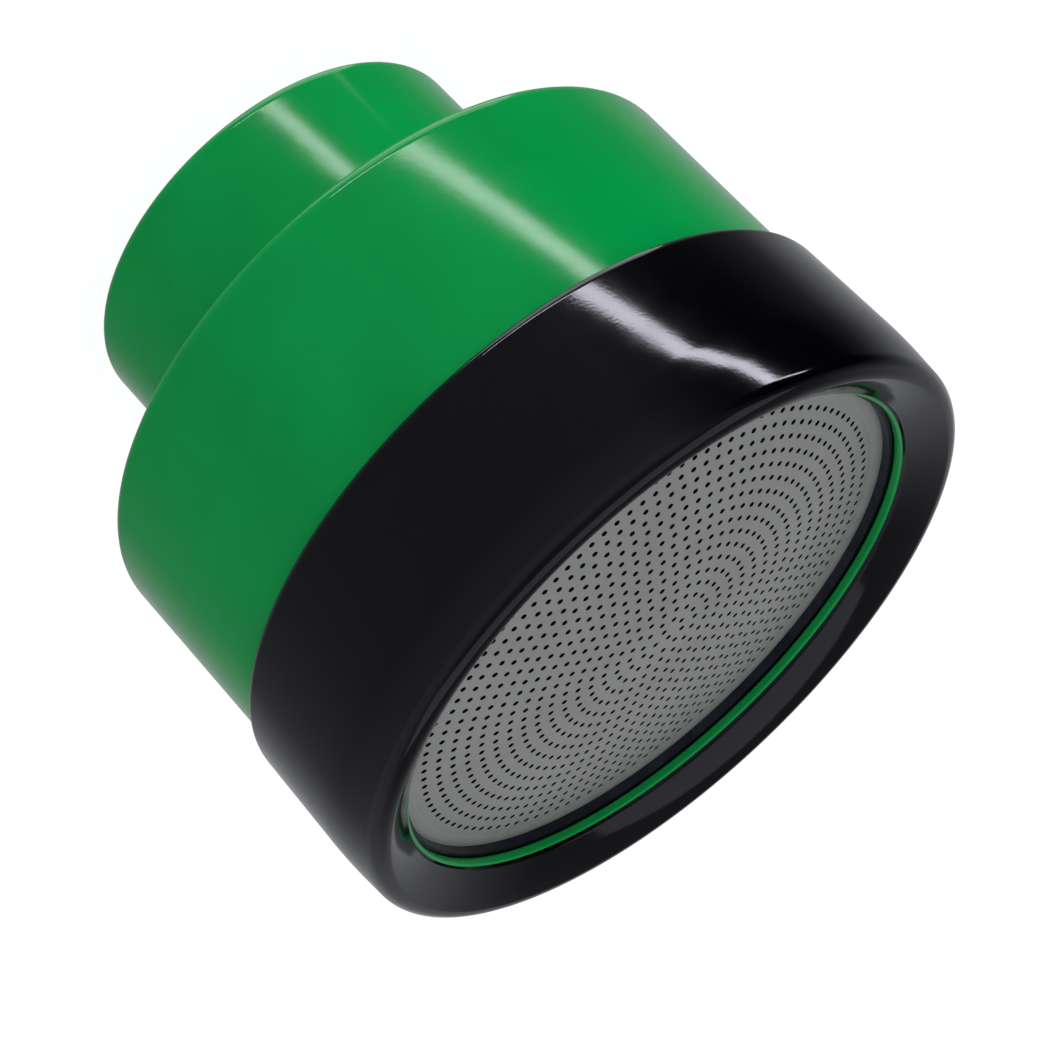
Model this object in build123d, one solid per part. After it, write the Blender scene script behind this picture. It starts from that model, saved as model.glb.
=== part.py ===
"""Garden-hose water breaker: a moulded shower nozzle that screws onto a hose or wand.

Millimetres. The origin is the centre of the collar's end face, where the hose enters, and +Z is the
way the water leaves. Every piece is turned about Z except where holes, legs or a gap break it up.
"""

import math
import os

from build123d import *

# ---- Hose thread and collar ----
thread_root_r = 13.6  # 3/4 in hose thread, 27.2 across the roots of the inside thread
thread_length = 11.5
collar_r = 18.0
collar_length = 16.5
collar_edge = 1.2
collar_root = 0.7
thread_lead_in = 0.7
inlet_r = 8.0

# ---- Cup ----
cup_r = 28.2
cup_edge = 1.4
cup_wall = 3.7
cup_floor = 3.0
body_length = 50.1

# ---- Spray plate ----
ring_pitch = 1.25
first_ring = 0.606  # radius of the innermost hole ring, in ring pitches
holes_per_ring = 6.5  # how many holes each ring gains on the one inside it
ring_shortfall = 3  # how many holes every ring has less than that
hole_d = 0.5
face_plate_t = 0.5
face_dome = 1.8
face_flange_w = 1.5
face_hole_margin = 0.6  # plain metal between the outermost hole ring and the flange
face_depth = 1.65  # from the cup's front rim down to the plate's rim

# ---- Front retaining ring and gasket ----
retainer_t = 0.8
retainer_proud = 0.4
retainer_groove = 0.8
retainer_gap = 3.0
gasket_t = 1.0

# ---- Inner stack ----
drop_in_clearance = 0.1
spacer_wall = 1.6
breaker_t = 0.8
breaker_pitch = 4.2
breaker_hole_d = 2.4

# ---- Jet baffle ----
baffle_r = 10.5
baffle_t = 1.6
baffle_edge = 0.5
baffle_stand = 6.0
baffle_leg_d = 2.4
baffle_legs = 3
baffle_base_w = 3.4
baffle_seat = 1.0
baffle_headroom = 6.0  # from the baffle's disc up to the breaker plate

# ---- Bumper ----
bumper_rear_proud = 1.0  # how far the rubber stands out from the cup's side
bumper_front_proud = 1.3
bumper_barrel_h = 5.0  # the front of the side, which leans in to the crest
bumper_barrel_in = 0.35
bumper_length = 16.4
bumper_crest = 2.0  # crest of the lip above the cup's front rim
bumper_front_edge = 1.4
bumper_crest_w = 0.3  # flat top of the crest, inside its outer rounding
bumper_crest_edge = 0.5
bumper_rear_edge = 0.9
bumper_seat_step = 0.7
bumper_clearance = 0.3
lip_overhang = 0.25  # how far the lip stops short of the cup's inner wall
lip_bevel_w = 0.15
lip_bevel_h = 0.3

# ---- Hose washer with its strainer ----
washer_t = 3.0
washer_clearance = 0.4
washer_hole_r = 9.0
washer_edge = 0.4
seat_relief = 0.7
strainer_flange_w = 1.7
strainer_flange_t = 0.8
strainer_rise = 2.2
strainer_mesh_t = 0.4
strainer_pitch = 1.5
strainer_hole_d = 0.9
strainer_rim_h = 1.6
strainer_rim_t = 0.9

# ---- Levels and radii that follow ----
seat_z = thread_length + washer_t + drop_in_clearance
floor_z = collar_length + cup_floor
cup_inner_r = cup_r - cup_wall
plate_r = cup_inner_r - drop_in_clearance
rim_z = body_length - face_depth
gasket_z = rim_z - face_plate_t - gasket_t
breaker_z = floor_z + baffle_stand + baffle_t + baffle_headroom
front_spacer_z = breaker_z + breaker_t
spacer_inner_r = plate_r - spacer_wall
dome_edge_r = plate_r - face_flange_w
dome_r = (dome_edge_r**2 + face_dome**2) / (2 * face_dome)
ring_count = int((dome_edge_r - face_hole_margin) / ring_pitch - first_ring) + 1
bumper_rear_r = cup_r + bumper_rear_proud
bumper_front_r = cup_r + bumper_front_proud
bumper_z = body_length - bumper_length + bumper_crest
bumper_seat_r = cup_r - bumper_seat_step
bumper_bore_r = bumper_seat_r + bumper_clearance
lip_r = cup_inner_r + lip_overhang
washer_r = thread_root_r - washer_clearance
washer_z = seat_z - washer_t
baffle_hole_r = inlet_r
baffle_base_r = baffle_hole_r + baffle_base_w


def tube(outer_r, inner_r, low, high):
    """A plain ring standing on the level low."""
    ring = Circle(outer_r) - Circle(inner_r)
    return extrude(Plane.XY.offset(low) * ring, high - low)


def turned(*points):
    """A solid of revolution from straight profile points (radius, height)."""
    outline = make_face(Plane.XZ * Polyline(*points, close=True))
    return revolve(outline, Axis.Z)


def edge_ring(shape, radius, height):
    """The circular edge of a turned shape at a given radius and height."""
    return [
        edge
        for edge in shape.edges().filter_by(GeomType.CIRCLE)
        if abs(edge.radius - radius) < 1e-4 and abs(edge.arc_center.Z - height) < 1e-4
    ]


def around(count, radius):
    """Evenly spaced points on a circle."""
    for index in range(count):
        angle = 2 * math.pi * index / count
        yield radius * math.cos(angle), radius * math.sin(angle)


def hex_points(pitch, reach):
    """Points of a hexagonal pattern inside a circle."""
    rows = int(reach / (pitch * math.sqrt(3) / 2))
    for row in range(-rows, rows + 1):
        y = row * pitch * math.sqrt(3) / 2
        shift = pitch / 2 if row % 2 else 0.0
        columns = int(reach / pitch) + 1
        for column in range(-columns, columns + 1):
            x = column * pitch + shift
            if math.hypot(x, y) <= reach:
                yield x, y


def nozzle_body():
    """The moulded collar and cup, with the hose bore, the inlet and the front groove."""
    outside = turned(
        (0, 0),
        (collar_r, 0),
        (collar_r, collar_length),
        (cup_r, collar_length),
        (cup_r, bumper_z),
        (bumper_seat_r, bumper_z),
        (bumper_seat_r, body_length),
        (0, body_length),
    )
    outside = fillet(edge_ring(outside, collar_r, 0), collar_edge)
    outside = fillet(edge_ring(outside, collar_r, collar_length), collar_root)
    outside = fillet(edge_ring(outside, cup_r, collar_length), cup_edge)
    relief_r = thread_root_r + seat_relief
    hose_side = turned(
        (0, 0),
        (thread_root_r + thread_lead_in, 0),
        (thread_root_r, thread_lead_in),
        (thread_root_r, thread_length),
        (relief_r, thread_length),
        (relief_r, seat_z),
        (inlet_r, seat_z),
        (inlet_r, floor_z - baffle_seat),
        (baffle_base_r + drop_in_clearance, floor_z - baffle_seat),
        (baffle_base_r + drop_in_clearance, floor_z),
        (cup_inner_r, floor_z),
        (cup_inner_r, rim_z),
        (cup_inner_r + retainer_groove, rim_z),
        (cup_inner_r + retainer_groove, rim_z + retainer_t + drop_in_clearance),
        (cup_inner_r, rim_z + retainer_t + drop_in_clearance),
        (cup_inner_r, body_length),
        (0, body_length),
    )
    return outside - hose_side


def bumper_ring():
    """The rubber ring around the cup's mouth, with a rounded crest that leans in to its lip."""
    crest_z = body_length + bumper_crest
    crest_out_r = bumper_front_r - bumper_barrel_in
    crest_in_r = crest_out_r - bumper_front_edge - bumper_crest_w
    ring = turned(
        (bumper_bore_r, bumper_z),
        (bumper_rear_r, bumper_z),
        (bumper_front_r, crest_z - bumper_barrel_h),
        (crest_out_r, crest_z),
        (crest_in_r, crest_z),
        (lip_r + lip_bevel_w, body_length + lip_bevel_h),
        (lip_r, body_length),
        (bumper_bore_r, body_length),
    )
    ring = fillet(edge_ring(ring, bumper_rear_r, bumper_z), bumper_rear_edge)
    ring = fillet(edge_ring(ring, crest_out_r, crest_z), bumper_front_edge)
    return fillet(edge_ring(ring, crest_in_r, crest_z), bumper_crest_edge)


def face_plate():
    """The thin domed spray plate with a flat flange, its holes square to the dome in even rings."""
    centre_z = rim_z + face_dome - dome_r
    shell = Pos(0, 0, centre_z) * (Sphere(dome_r) - Sphere(dome_r - face_plate_t))
    dome = shell & Pos(0, 0, rim_z) * Cylinder(dome_edge_r, 4 * face_dome)
    blank = dome + tube(plate_r, dome_edge_r, rim_z - face_plate_t, rim_z)
    drills = []
    for ring in range(1, ring_count + 1):
        lean = math.asin((ring - 1 + first_ring) * ring_pitch / dome_r)
        holes = int(holes_per_ring * ring - ring_shortfall)
        for x, y in around(holes, math.sin(lean)):
            away = Vector(x, y, math.cos(lean))
            start = Vector(0, 0, centre_z) + away * (dome_r - 2 * face_plate_t)
            drills.append(Solid.make_cylinder(hole_d / 2, 3 * face_plate_t, Plane(start, z_dir=away)))
    return blank.cut(*drills)


def retaining_ring():
    """The split ring that snaps into the cup's groove over the plate's rim."""
    outer_r = cup_inner_r + retainer_groove - drop_in_clearance
    ring = tube(outer_r, cup_inner_r - retainer_proud, rim_z, rim_z + retainer_t)
    gap = Box(retainer_gap, cup_inner_r, 2 * retainer_t)
    return ring - Pos(0, -cup_inner_r, rim_z + retainer_t / 2) * gap


def face_gasket():
    return tube(plate_r, spacer_inner_r, gasket_z, gasket_z + gasket_t)


def front_spacer():
    return tube(plate_r, spacer_inner_r, front_spacer_z, gasket_z)


def breaker_plate():
    """The coarse plate that calms the water on its way to the spray plate."""
    places = hex_points(breaker_pitch, spacer_inner_r - breaker_hole_d)
    holes = [Pos(x, y) * Circle(breaker_hole_d / 2) for x, y in places]
    return extrude(Plane.XY.offset(breaker_z) * (Circle(plate_r) - holes), breaker_t)


def rear_spacer():
    return tube(plate_r, spacer_inner_r, floor_z, breaker_z)


def jet_baffle():
    """A disc on legs that turns the jet from the inlet aside."""
    base_z = floor_z - baffle_seat
    disc_z = floor_z + baffle_stand
    top_z = disc_z + baffle_t
    base = tube(baffle_base_r, baffle_hole_r, base_z, floor_z)
    disc = Pos(0, 0, disc_z + baffle_t / 2) * Cylinder(baffle_r, baffle_t)
    disc = fillet(edge_ring(disc, baffle_r, disc_z), baffle_edge)
    leg = Cylinder(baffle_leg_d / 2, top_z - base_z)
    places = around(baffle_legs, baffle_hole_r + baffle_leg_d / 2)
    return base + disc + [Pos(x, y, (base_z + top_z) / 2) * leg for x, y in places]


def hose_washer():
    """The rubber washer at the bottom of the hose thread, stepped for the strainer's flange."""
    flange_r = washer_hole_r + strainer_flange_w
    return turned(
        (washer_hole_r, washer_z),
        (washer_r - washer_edge, washer_z),
        (washer_r, washer_z + washer_edge),
        (washer_r, seat_z - washer_edge),
        (washer_r - washer_edge, seat_z),
        (flange_r, seat_z),
        (flange_r, seat_z - strainer_flange_t),
        (washer_hole_r, seat_z - strainer_flange_t),
    )


def strainer_rim():
    """The flanged hoop that carries the strainer's mesh."""
    flange_r = washer_hole_r + strainer_flange_w
    hoop_r = washer_hole_r - drop_in_clearance
    mesh_seat_r = hoop_r - strainer_rim_t
    return turned(
        (mesh_seat_r, seat_z),
        (flange_r, seat_z),
        (flange_r, seat_z - strainer_flange_t),
        (hoop_r, seat_z - strainer_flange_t),
        (hoop_r, seat_z - strainer_flange_t - strainer_rim_h),
        (mesh_seat_r, seat_z - strainer_flange_t - strainer_rim_h),
    )


def strainer_mesh():
    """The domed mesh across the washer, bulging toward the hose."""
    edge_r = washer_hole_r - drop_in_clearance - strainer_rim_t
    sphere_r = (edge_r**2 + strainer_rise**2) / (2 * strainer_rise)
    rim_level = seat_z - strainer_flange_t
    low_z = rim_level - strainer_rise
    shell = Pos(0, 0, low_z + sphere_r) * (Sphere(sphere_r) - Sphere(sphere_r - strainer_mesh_t))
    cap = shell & Pos(0, 0, low_z) * Cylinder(edge_r, 2 * strainer_rise)
    drill = Cylinder(strainer_hole_d / 2, 4 * strainer_rise)
    places = hex_points(strainer_pitch, edge_r - strainer_pitch)
    return cap - [Pos(x, y, low_z) * drill for x, y in places]


pieces = [
    nozzle_body,
    bumper_ring,
    face_plate,
    retaining_ring,
    face_gasket,
    front_spacer,
    breaker_plate,
    rear_spacer,
    jet_baffle,
    hose_washer,
    strainer_rim,
    strainer_mesh,
]

os.makedirs("parts", exist_ok=True)
for piece in pieces:
    export_step(piece(), f"parts/{piece.__name__}.step")
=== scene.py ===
import math

import bmesh
import bpy
from mathutils import Matrix, Quaternion, Vector


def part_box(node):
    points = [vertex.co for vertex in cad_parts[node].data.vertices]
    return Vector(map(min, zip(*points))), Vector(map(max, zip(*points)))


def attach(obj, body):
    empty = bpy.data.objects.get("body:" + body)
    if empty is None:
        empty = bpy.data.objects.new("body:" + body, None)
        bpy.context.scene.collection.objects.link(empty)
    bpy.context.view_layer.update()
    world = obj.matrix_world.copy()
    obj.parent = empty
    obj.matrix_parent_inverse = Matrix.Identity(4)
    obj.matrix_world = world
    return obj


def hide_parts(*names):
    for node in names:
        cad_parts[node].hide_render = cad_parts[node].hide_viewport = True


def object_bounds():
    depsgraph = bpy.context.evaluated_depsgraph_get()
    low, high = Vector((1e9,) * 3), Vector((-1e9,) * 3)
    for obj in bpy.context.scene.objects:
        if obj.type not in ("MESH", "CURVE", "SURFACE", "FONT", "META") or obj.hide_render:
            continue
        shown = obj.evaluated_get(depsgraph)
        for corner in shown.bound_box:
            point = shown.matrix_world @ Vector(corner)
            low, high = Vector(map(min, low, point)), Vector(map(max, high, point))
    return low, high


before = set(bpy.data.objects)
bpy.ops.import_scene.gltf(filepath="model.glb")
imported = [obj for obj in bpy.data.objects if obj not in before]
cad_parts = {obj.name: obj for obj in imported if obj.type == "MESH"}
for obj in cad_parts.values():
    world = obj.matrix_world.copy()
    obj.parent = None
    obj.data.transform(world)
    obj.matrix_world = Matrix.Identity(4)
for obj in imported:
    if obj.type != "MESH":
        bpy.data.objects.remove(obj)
cad_low, cad_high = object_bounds()
mm = 0.001

# ---- Camera ----
# A long lens a quarter of a metre away, a little above the mouth of the nozzle and turned on its own
# axis, so that the collar lies at the upper left and the spray face at the lower right.
camera_place = Vector((0.0, -251.5 * mm, 150.5 * mm))
camera_aim = Vector((1.77 * mm, 0.0, 35.21 * mm))
camera_turn = math.radians(136.82)
camera = bpy.data.objects.new("camera", bpy.data.cameras.new("camera"))
camera.data.lens = 120
camera.data.sensor_width = 36
camera.data.clip_start = 10 * mm
camera.location = camera_place
camera.rotation_mode = "QUATERNION"
level_look = (camera_aim - camera_place).to_track_quat("-Z", "Y")
camera.rotation_quaternion = level_look @ Quaternion((0, 0, 1), camera_turn)
bpy.context.scene.collection.objects.link(camera)
bpy.context.scene.camera = camera

# ---- Nozzle body ----
# The collar and cup are one injection moulding in glossy green polypropylene. The hose screws into the
# collar, and the cup's mouth has a groove inside for the ring that holds the spray plate.
body_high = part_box("nozzle_body")[1]
ring_low, ring_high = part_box("retaining_ring")
bumper_low, bumper_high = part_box("bumper_ring")
washer_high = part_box("hose_washer")[1]
cup_r = body_high.x
cup_wall = 3.7 * mm
cup_floor = 3.0 * mm
cup_edge = 1.4 * mm
collar_r = 18.0 * mm
collar_length = 16.5 * mm
collar_edge = 1.2 * mm
thread_root_r = 13.6 * mm
thread_length = 11.5 * mm
thread_lead_in = 0.7 * mm
seat_relief = 0.7 * mm
inlet_r = 8.0 * mm
baffle_seat = 1.0 * mm
drop_in_clearance = 0.1 * mm
baffle_seat_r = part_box("jet_baffle")[1].x + drop_in_clearance
bumper_step = 0.7 * mm
fine_edge = 0.1 * mm
small_edge = 0.2 * mm
mouth_edge = 0.3 * mm
floor_edge = 0.5 * mm
cup_inner_r = cup_r - cup_wall
cup_seat_r = cup_r - bumper_step
groove_r = ring_high.x + drop_in_clearance
mouth_z = body_high.z
floor_z = collar_length + cup_floor


def outline(shape, corners, segments=8):
    """Half the section of a turned piece, closed, as (radius, height, length rounded off the corner)."""
    points = [shape.verts.new((radius, 0, height)) for radius, height, _ in corners]
    for start, end in zip(points, points[1:] + points[:1]):
        shape.edges.new((start, end))
    for point, (_, _, rounding) in zip(points, corners):
        if rounding:
            bmesh.ops.bevel(
                shape, geom=[point], offset=rounding, offset_type="OFFSET", affect="VERTICES",
                segments=segments, profile=0.5, material=-1,
            )


def turn(shape, steps=360):
    """Spins the outline round the nozzle's axis."""
    bmesh.ops.spin(
        shape, geom=shape.edges[:], cent=(0, 0, 0), axis=(0, 0, 1), angle=2 * math.pi,
        steps=steps, use_merge=True,
    )
    bmesh.ops.recalc_face_normals(shape, faces=shape.faces)


def piece(name, shape, material, body, sharp=35):
    """Makes the object for a shape, gives it its finish and puts it on its body."""
    mesh = bpy.data.meshes.new(name)
    shape.to_mesh(mesh)
    shape.free()
    mesh.shade_smooth()
    mesh.set_sharp_from_angle(angle=math.radians(sharp))
    mesh.materials.append(material)
    made = bpy.data.objects.new(name, mesh)
    bpy.context.scene.collection.objects.link(made)
    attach(made, body)
    return made


def finish(name, roughness, **inputs):
    """A new material with its shader, texture space and a linker for its nodes."""
    material = bpy.data.materials.new(name)
    material.use_nodes = True
    nodes = material.node_tree.nodes
    shader = nodes["Principled BSDF"]
    shader.inputs["Roughness"].default_value = roughness
    for key, value in inputs.items():
        shader.inputs[key.replace("_", " ")].default_value = value
    place = nodes.new("ShaderNodeTexCoord")
    return material, nodes, material.node_tree.links.new, shader, place.outputs["Object"]


def noise(nodes, link, place, size, detail=3):
    """Noise whose grains are about size across."""
    texture = nodes.new("ShaderNodeTexNoise")
    texture.inputs["Scale"].default_value = 1 / size
    texture.inputs["Detail"].default_value = detail
    link(place, texture.inputs["Vector"])
    return texture.outputs["Fac"]


def ramp(nodes, link, value, *stops):
    """Turns a value into colours at the given places."""
    node = nodes.new("ShaderNodeValToRGB")
    for extra in stops[2:]:
        node.color_ramp.elements.new(extra[0])
    for element, (position, colour) in zip(node.color_ramp.elements, sorted(stops)):
        element.position = position
        element.color = (*colour, 1)
    link(value, node.inputs["Fac"])
    return node.outputs["Color"]


def spread(nodes, link, value, low, high, start=0.3, end=0.7):
    """Maps the middle of a noise to the range from low to high."""
    node = nodes.new("ShaderNodeMapRange")
    node.inputs["From Min"].default_value = start
    node.inputs["From Max"].default_value = end
    node.inputs["To Min"].default_value = low
    node.inputs["To Max"].default_value = high
    link(value, node.inputs["Value"])
    return node.outputs["Result"]


def bump(nodes, link, height, depth, under=None):
    """Raises the surface by up to depth where height is 1."""
    node = nodes.new("ShaderNodeBump")
    node.inputs["Strength"].default_value = 1.0
    node.inputs["Distance"].default_value = depth
    link(height, node.inputs["Height"])
    if under is not None:
        link(under, node.inputs["Normal"])
    return node.outputs["Normal"]


def green_plastic():
    material, nodes, link, shader, place = finish("green_plastic", 0.13, IOR=1.46)
    shader.inputs["Specular IOR Level"].default_value = 0.3
    tint = noise(nodes, link, place, 9 * mm)
    green = ramp(nodes, link, tint, (0.3, (0.0, 0.31, 0.06)), (0.7, (0.0, 0.36, 0.072)))
    link(green, shader.inputs["Base Color"])
    haze = noise(nodes, link, place, 1.6 * mm, 5)
    link(spread(nodes, link, haze, 0.09, 0.12), shader.inputs["Roughness"])
    grain = bump(nodes, link, noise(nodes, link, place, 0.2 * mm, 2), 0.0035 * mm)
    flow = bump(nodes, link, noise(nodes, link, place, 3 * mm, 1), 0.008 * mm, under=grain)
    link(flow, shader.inputs["Normal"])
    return material


green = green_plastic()
shell = bmesh.new()
outline(shell, (
    (thread_root_r + thread_lead_in, 0, 0),
    (collar_r, 0, collar_edge),
    (collar_r, collar_length, cup_edge / 2),
    (cup_r, collar_length, cup_edge),
    (cup_r, bumper_low.z, 0),
    (cup_seat_r, bumper_low.z, 0),
    (cup_seat_r, mouth_z, mouth_edge),
    (cup_inner_r, mouth_z, small_edge),
    (cup_inner_r, ring_high.z + drop_in_clearance, fine_edge),
    (groove_r, ring_high.z + drop_in_clearance, 0),
    (groove_r, ring_low.z, 0),
    (cup_inner_r, ring_low.z, 0),
    (cup_inner_r, floor_z, floor_edge),
    (baffle_seat_r, floor_z, 0),
    (baffle_seat_r, floor_z - baffle_seat, 0),
    (inlet_r, floor_z - baffle_seat, 0),
    (inlet_r, washer_high.z + drop_in_clearance, small_edge),
    (thread_root_r + seat_relief, washer_high.z + drop_in_clearance, 0),
    (thread_root_r + seat_relief, thread_length, 0),
    (thread_root_r, thread_length, 0),
    (thread_root_r, thread_lead_in, 0),
))
turn(shell)
nozzle_shell = piece("nozzle_shell", shell, green, "nozzle")
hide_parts("nozzle_body")

# ---- Hose thread ----
# The ridge inside the collar is moulded with it: the coarse thread of a garden hose, eleven and a half
# turns to the inch. Both ends run out into the wall, so a hose finds its way in.
thread_pitch = 25.4 * mm / 11.5
thread_crest_r = 12.35 * mm
thread_crest_w = 0.3 * mm
thread_base_w = 1.7 * mm
thread_sunk = 0.05 * mm
thread_steps = 96
run_out_steps = 24
ridge_start = thread_lead_in + thread_base_w / 2
ridge_turns = (thread_length - thread_base_w / 2 - ridge_start) / thread_pitch
ridge_steps = int(ridge_turns * thread_steps)
ridge_r = thread_root_r + thread_sunk
ridge = bmesh.new()
outline(ridge, (
    (ridge_r, ridge_start - thread_base_w / 2, 0),
    (thread_crest_r, ridge_start - thread_crest_w / 2, 0),
    (thread_crest_r, ridge_start + thread_crest_w / 2, 0),
    (ridge_r, ridge_start + thread_base_w / 2, 0),
))
ridge_corners = len(ridge.verts)
bmesh.ops.spin(
    ridge, geom=ridge.edges[:], cent=(0, 0, 0), axis=(0, 0, 1), steps=ridge_steps,
    angle=2 * math.pi * ridge_steps / thread_steps, dvec=(0, 0, thread_pitch / thread_steps),
)
ridge.verts.index_update()
for point in ridge.verts:
    radius = math.hypot(point.co.x, point.co.y)
    step = point.index // ridge_corners
    depth = min(step, ridge_steps - step, run_out_steps) / run_out_steps
    reach = ridge_r + (radius - ridge_r) * depth
    point.co.x *= reach / radius
    point.co.y *= reach / radius
bmesh.ops.holes_fill(ridge, edges=ridge.edges[:], sides=ridge_corners)
bmesh.ops.recalc_face_normals(ridge, faces=ridge.faces)
piece("hose_thread", ridge, green, "nozzle")

# ---- Bumper ----
# A thick ring of glossy black rubber is stretched over the mouth. Its crest stands above the green rim
# and leans in to a thin lip.
bumper_rear_r = 29.2 * mm
bumper_rear_edge = 0.9 * mm
bumper_bore_r = cup_seat_r + 0.3 * mm
bumper_front_r = bumper_high.x
barrel_height = 5 * mm
barrel_edge = 1.5 * mm
crest_out_r = bumper_front_r - 0.35 * mm
crest_out_edge = 1.3 * mm
crest_in_r = bumper_front_r - 1.75 * mm
crest_in_edge = 0.3 * mm
bumper_lip_r = cup_inner_r + 0.25 * mm
slope_r = bumper_lip_r + 1.75 * mm
slope_z = mouth_z + 1.45 * mm
slope_edge = 0.9 * mm
lip_bevel_w = 0.15 * mm
lip_bevel_h = 0.3 * mm


def black_rubber():
    material, nodes, link, shader, place = finish("black_rubber", 0.18, IOR=1.5)
    tint = noise(nodes, link, place, 5 * mm)
    black = ramp(nodes, link, tint, (0.3, (0.0008, 0.0008, 0.0014)), (0.7, (0.0014, 0.0013, 0.0022)))
    link(black, shader.inputs["Base Color"])
    shader.inputs["Specular Tint"].default_value = (0.86, 0.86, 1.0, 1)
    haze = noise(nodes, link, place, 2.2 * mm, 5)
    link(spread(nodes, link, haze, 0.07, 0.1), shader.inputs["Roughness"])
    grain = bump(nodes, link, noise(nodes, link, place, 0.25 * mm, 2), 0.0025 * mm)
    link(grain, shader.inputs["Normal"])
    return material


rubber = black_rubber()
band = bmesh.new()
outline(band, (
    (bumper_bore_r, bumper_low.z, small_edge),
    (bumper_rear_r, bumper_low.z, bumper_rear_edge),
    (bumper_front_r, bumper_high.z - barrel_height, barrel_edge),
    (crest_out_r, bumper_high.z, crest_out_edge),
    (crest_in_r, bumper_high.z, crest_in_edge),
    (slope_r, slope_z, slope_edge),
    (bumper_lip_r + lip_bevel_w, mouth_z + lip_bevel_h, fine_edge),
    (bumper_lip_r, mouth_z, 0),
    (bumper_bore_r, mouth_z, 0),
), segments=12)
turn(band)
bumper = piece("bumper", band, rubber, "bumper")
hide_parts("bumper_ring")

# ---- Spray plate ----
# A stainless sheet with a thousand and fifty-three holes, domed so that the jets fan out. It drops on the
# gasket. Its own solid already has the holes, so only its finish is made: dull grey, with painted shade
# inside the holes, where their walls face sideways.


def plate_steel():
    material, nodes, link, shader, place = finish("plate_steel", 0.45, Metallic=0.75)
    tint = noise(nodes, link, place, 6 * mm)
    steel = ramp(nodes, link, tint, (0.3, (0.50, 0.50, 0.485)), (0.7, (0.56, 0.56, 0.545)))
    facing = nodes.new("ShaderNodeSeparateXYZ")
    link(place.node.outputs["Normal"], facing.inputs[0])
    # Painted shade: surfaces facing sideways, the walls inside the holes, are coloured near black.
    hole_shade_mix = nodes.new("ShaderNodeMix")
    hole_shade_mix.data_type = "RGBA"
    painted_hole_shade = hole_shade_mix.inputs[6]
    face_colour = hole_shade_mix.inputs[7]
    mixed_colour = hole_shade_mix.outputs[2]
    link(spread(nodes, link, facing.outputs["Z"], 0, 1), hole_shade_mix.inputs["Factor"])
    painted_hole_shade.default_value = (0.02, 0.02, 0.022, 1)
    link(steel, face_colour)
    link(mixed_colour, shader.inputs["Base Color"])
    haze = noise(nodes, link, place, 0.8 * mm, 4)
    link(spread(nodes, link, haze, 0.5, 0.62), shader.inputs["Roughness"])
    grain = bump(nodes, link, noise(nodes, link, place, 0.12 * mm, 2), 0.004 * mm)
    link(grain, shader.inputs["Normal"])
    return material


def dress(node, material):
    """Gives a solid of the frame its finish."""
    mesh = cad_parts[node].data
    mesh.materials.clear()
    mesh.materials.append(material)


dress("face_plate", plate_steel())

# ---- Retaining ring ----
# A split ring, stamped from spring steel and blackened, snaps into the groove inside the cup's mouth and
# keeps the plate down on its gasket.


def ring_steel():
    material, nodes, link, shader, place = finish("ring_steel", 0.4, Metallic=1.0)
    tint = noise(nodes, link, place, 1.5 * mm)
    steel = ramp(nodes, link, tint, (0.3, (0.03, 0.033, 0.05)), (0.7, (0.055, 0.06, 0.085)))
    link(steel, shader.inputs["Base Color"])
    return material


dress("retaining_ring", ring_steel())

# ---- Gasket under the spray plate ----
# A soft black rubber ring, cut from moulded tube and left matt. The plate's flange is clamped on it by the
# retaining ring.


def gasket_rubber():
    material, nodes, link, shader, place = finish("gasket_rubber", 0.6)
    tint = noise(nodes, link, place, 2 * mm)
    black = ramp(nodes, link, tint, (0.3, (0.012, 0.012, 0.013)), (0.7, (0.026, 0.026, 0.028)))
    link(black, shader.inputs["Base Color"])
    link(spread(nodes, link, tint, 0.55, 0.7), shader.inputs["Roughness"])
    link(bump(nodes, link, noise(nodes, link, place, 0.15 * mm, 3), 0.02 * mm), shader.inputs["Normal"])
    return material


soft_black = gasket_rubber()
dress("face_gasket", soft_black)

# ---- Spacers, breaker plate and jet baffle ----
# Inside the cup two tubes hold a coarse plate apart from the floor and from the spray plate, and a disc on
# legs turns the jet aside. All four are moulded in the same natural, slightly milky plastic.


def spacer_plastic():
    material, nodes, link, shader, place = finish("spacer_plastic", 0.35, IOR=1.49)
    tint = noise(nodes, link, place, 5 * mm)
    milky = ramp(nodes, link, tint, (0.3, (0.55, 0.56, 0.54)), (0.7, (0.63, 0.64, 0.62)))
    link(milky, shader.inputs["Base Color"])
    link(spread(nodes, link, noise(nodes, link, place, 1.2 * mm, 4), 0.3, 0.4), shader.inputs["Roughness"])
    link(bump(nodes, link, noise(nodes, link, place, 0.3 * mm, 2), 0.006 * mm), shader.inputs["Normal"])
    return material


milky_plastic = spacer_plastic()
for node in ("front_spacer", "breaker_plate", "rear_spacer", "jet_baffle"):
    dress(node, milky_plastic)

# ---- Hose washer and strainer ----
# A rubber washer seals the hose against the collar's seat, and carries a strainer: a pressed hoop with a
# dome of woven stainless wire that keeps grit out of the spray plate's holes.
strainer_low, strainer_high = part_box("strainer_mesh")
weave_reach = 8.3 * mm
wire_pitch = 0.8 * mm
wire_d = 0.24 * mm
dome_edge_r = strainer_high.x
dome_rise = 2.2 * mm
dome_r = (dome_edge_r ** 2 + dome_rise ** 2) / (2 * dome_rise)


def strainer_steel():
    material, nodes, link, shader, place = finish("strainer_steel", 0.35, Metallic=1.0)
    tint = noise(nodes, link, place, 1.5 * mm)
    steel = ramp(nodes, link, tint, (0.3, (0.48, 0.48, 0.47)), (0.7, (0.6, 0.6, 0.585)))
    link(steel, shader.inputs["Base Color"])
    link(spread(nodes, link, tint, 0.3, 0.42), shader.inputs["Roughness"])
    link(bump(nodes, link, noise(nodes, link, place, 0.1 * mm, 2), 0.004 * mm), shader.inputs["Normal"])
    return material


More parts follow.
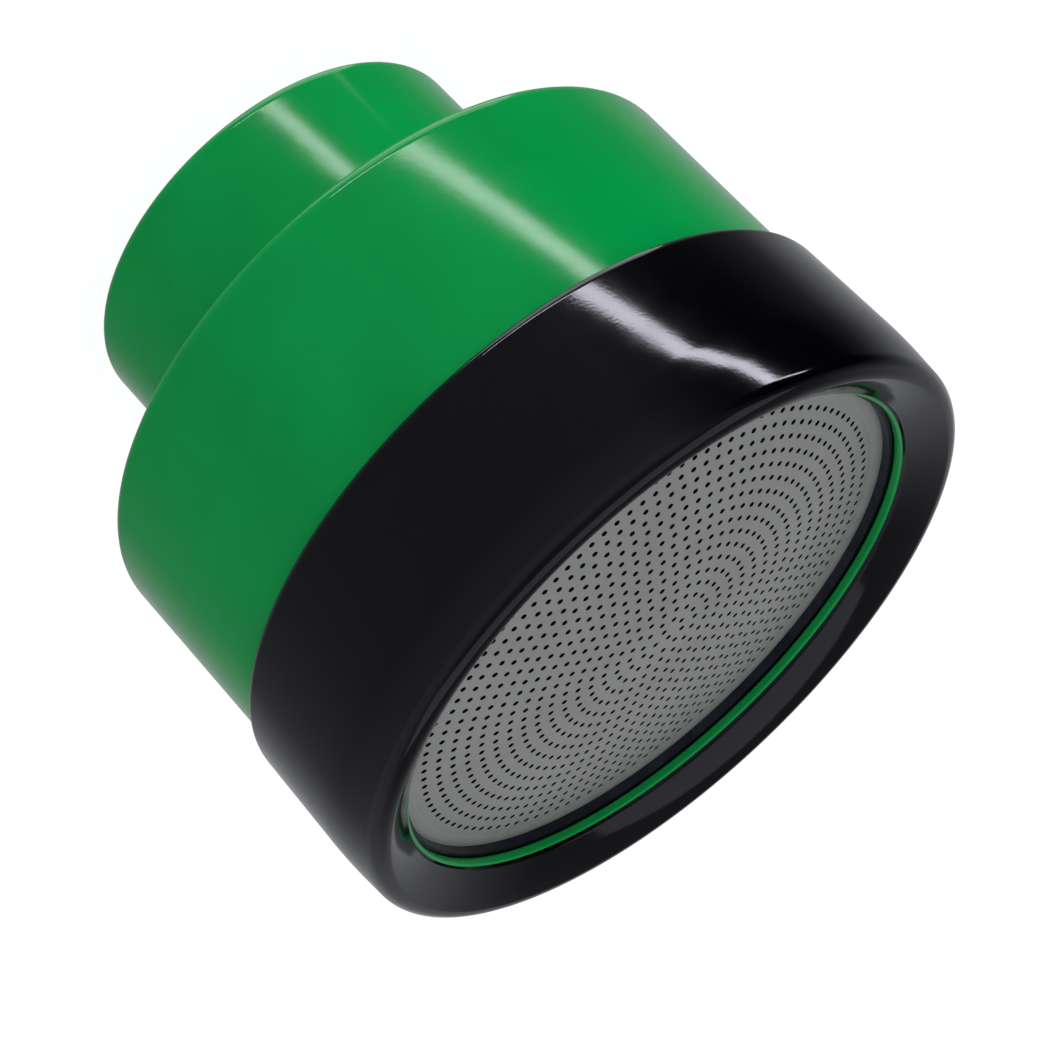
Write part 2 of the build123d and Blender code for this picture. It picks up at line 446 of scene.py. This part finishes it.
wire_steel = strainer_steel()
dress("hose_washer", soft_black)
dress("strainer_rim", wire_steel)
weave = bmesh.new()
wires = 2 * int(weave_reach / wire_pitch)
bmesh.ops.create_grid(weave, x_segments=wires, y_segments=wires, size=wires * wire_pitch / 2)
outside = [face for face in weave.faces if max(point.co.xy.length for point in face.verts) > weave_reach]
bmesh.ops.delete(weave, geom=outside, context="FACES")
for point in weave.verts:
    over_or_under = 1 if round(point.co.x / wire_pitch + point.co.y / wire_pitch) % 2 else -1
    below_centre = math.sqrt(dome_r ** 2 - point.co.xy.length_squared)
    point.co.z = strainer_low.z + wire_d + dome_r - below_centre + over_or_under * wire_d / 2
bmesh.ops.wireframe(weave, faces=weave.faces[:], thickness=wire_d, use_replace=True, use_boundary=True)
bmesh.ops.recalc_face_normals(weave, faces=weave.faces)
strainer_weave = piece("strainer_weave", weave, wire_steel, "washer")
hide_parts("strainer_mesh")

# ---- Floor, sky and lights ----
# A pale table stands for the studio floor. It is only seen: light and reflections pass it, as they would
# pass a sheet of frosted glass, so the long lamps below it can draw the streaks on the glossy sides.
floor_half_width = 4
floor_drop = 0.05 * mm
floor_shape = bmesh.new()
bmesh.ops.create_grid(floor_shape, x_segments=1, y_segments=1, size=floor_half_width)
bmesh.ops.translate(floor_shape, verts=floor_shape.verts, vec=(0, 0, -floor_drop))
floor_mesh = bpy.data.meshes.new("floor")
floor_shape.to_mesh(floor_mesh)
floor_shape.free()
floor = bpy.data.objects.new("floor", floor_mesh)
floor.visible_glossy = False
floor.visible_diffuse = False
floor.visible_shadow = False
bpy.context.scene.collection.objects.link(floor)
floor_finish, _, _, floor_shader, _ = finish("floor", 0.8)
floor_shader.inputs["Base Color"].default_value = (0.15, 0.15, 0.15, 1)
floor_shader.inputs["Specular IOR Level"].default_value = 0
floor_shader.inputs["Emission Color"].default_value = (1, 1, 1, 1)
floor_shader.inputs["Emission Strength"].default_value = 0.95
floor_mesh.materials.append(floor_finish)


def greys(*stops):
    """Ramp stops from (place, brightness) pairs."""
    return [(place, (brightness,) * 3) for place, brightness in stops]


def sky(seen, fill, near, far):
    """White to the eye, an even fill for matt surfaces, and for reflections darker on the lamp's side."""
    world = bpy.data.worlds.new("studio")
    world.use_nodes = True
    nodes = world.node_tree.nodes
    link = world.node_tree.links.new
    background = nodes["Background"]
    split = nodes.new("ShaderNodeSeparateXYZ")
    link(nodes.new("ShaderNodeTexCoord").outputs["Generated"], split.inputs[0])

    def joined(operation, first, second):
        node = nodes.new("ShaderNodeMath")
        node.operation = operation
        link(first, node.inputs[0])
        link(second, node.inputs[1])
        return node.outputs[0]

    side = spread(nodes, link, split.outputs["X"], 0.0, near, start=-0.9, end=-0.6)
    level = spread(nodes, link, split.outputs["Z"], 0.0, 1.0, start=-0.5, end=1.0)
    band = ramp(nodes, link, level, *greys((0.1, 0.5), (0.25, 1), (0.6, 1), (0.8, 0.4)))
    behind = spread(nodes, link, split.outputs["Y"], 0.0, far, start=0.5, end=0.95)
    wall = ramp(nodes, link, level, *greys((0.05, 0.7), (0.3, 0.4), (0.38, 0.12), (0.5, 0.05)))
    mirrored = joined("ADD", joined("MULTIPLY", side, band), joined("MULTIPLY", behind, wall))
    ray = nodes.new("ShaderNodeLightPath")
    matt_or_glossy = nodes.new("ShaderNodeMix")
    link(ray.outputs["Is Glossy Ray"], matt_or_glossy.inputs["Factor"])
    matt_or_glossy.inputs["A"].default_value = fill
    link(mirrored, matt_or_glossy.inputs["B"])
    eye_or_not = nodes.new("ShaderNodeMix")
    link(ray.outputs["Is Camera Ray"], eye_or_not.inputs["Factor"])
    link(matt_or_glossy.outputs[0], eye_or_not.inputs["A"])
    eye_or_not.inputs["B"].default_value = seen
    link(eye_or_not.outputs[0], background.inputs["Strength"])
    background.inputs["Color"].default_value = (0.94, 0.96, 1.0, 1)
    bpy.context.scene.world = world


def aim(azimuth, elevation):
    """A direction: azimuth 0 points at the camera's side and 90 along +X."""
    azimuth, elevation = math.radians(azimuth), math.radians(elevation)
    flat = math.cos(elevation)
    return Vector((math.sin(azimuth) * flat, -math.cos(azimuth) * flat, math.sin(elevation)))


def lamp(name, start, end, width, distance, radiance):
    """A long soft lamp that spans the directions from start to end, seen from the nozzle's middle."""
    start, end = aim(*start), aim(*end)
    middle = (start + end).normalized()
    half_angle = start.angle(end) / 2
    length = 2 * distance * math.tan(half_angle)
    across = 2 * distance * math.tan(math.radians(width) / 2)
    light = bpy.data.lights.new(name, "AREA")
    light.shape = "RECTANGLE"
    light.size = length
    light.size_y = across
    light.energy = radiance * math.pi * length * across
    made = bpy.data.objects.new(name, light)
    along = (end - start).normalized()
    sideways = middle.cross(along)
    turned_frame = Matrix((along, sideways, middle)).transposed()
    made.matrix_world = Matrix.Translation(nozzle_middle + middle * distance) @ turned_frame.to_4x4()
    made.visible_camera = False
    bpy.context.scene.collection.objects.link(made)


nozzle_middle = (cad_low + cad_high) / 2
sky(seen=1.1, fill=0.57, near=0.4, far=0.4)
lamp("streak_lamp", start=(-88, 0), end=(-22, -46), width=4, distance=0.6, radiance=13.0)
lamp("low_lamp", start=(-110, -45), end=(-50, -75), width=40, distance=0.8, radiance=1.4)
lamp("top_lamp", start=(0, 70), end=(180, 74), width=95, distance=0.8, radiance=0.5)
bpy.context.scene.view_settings.view_transform = "Standard"
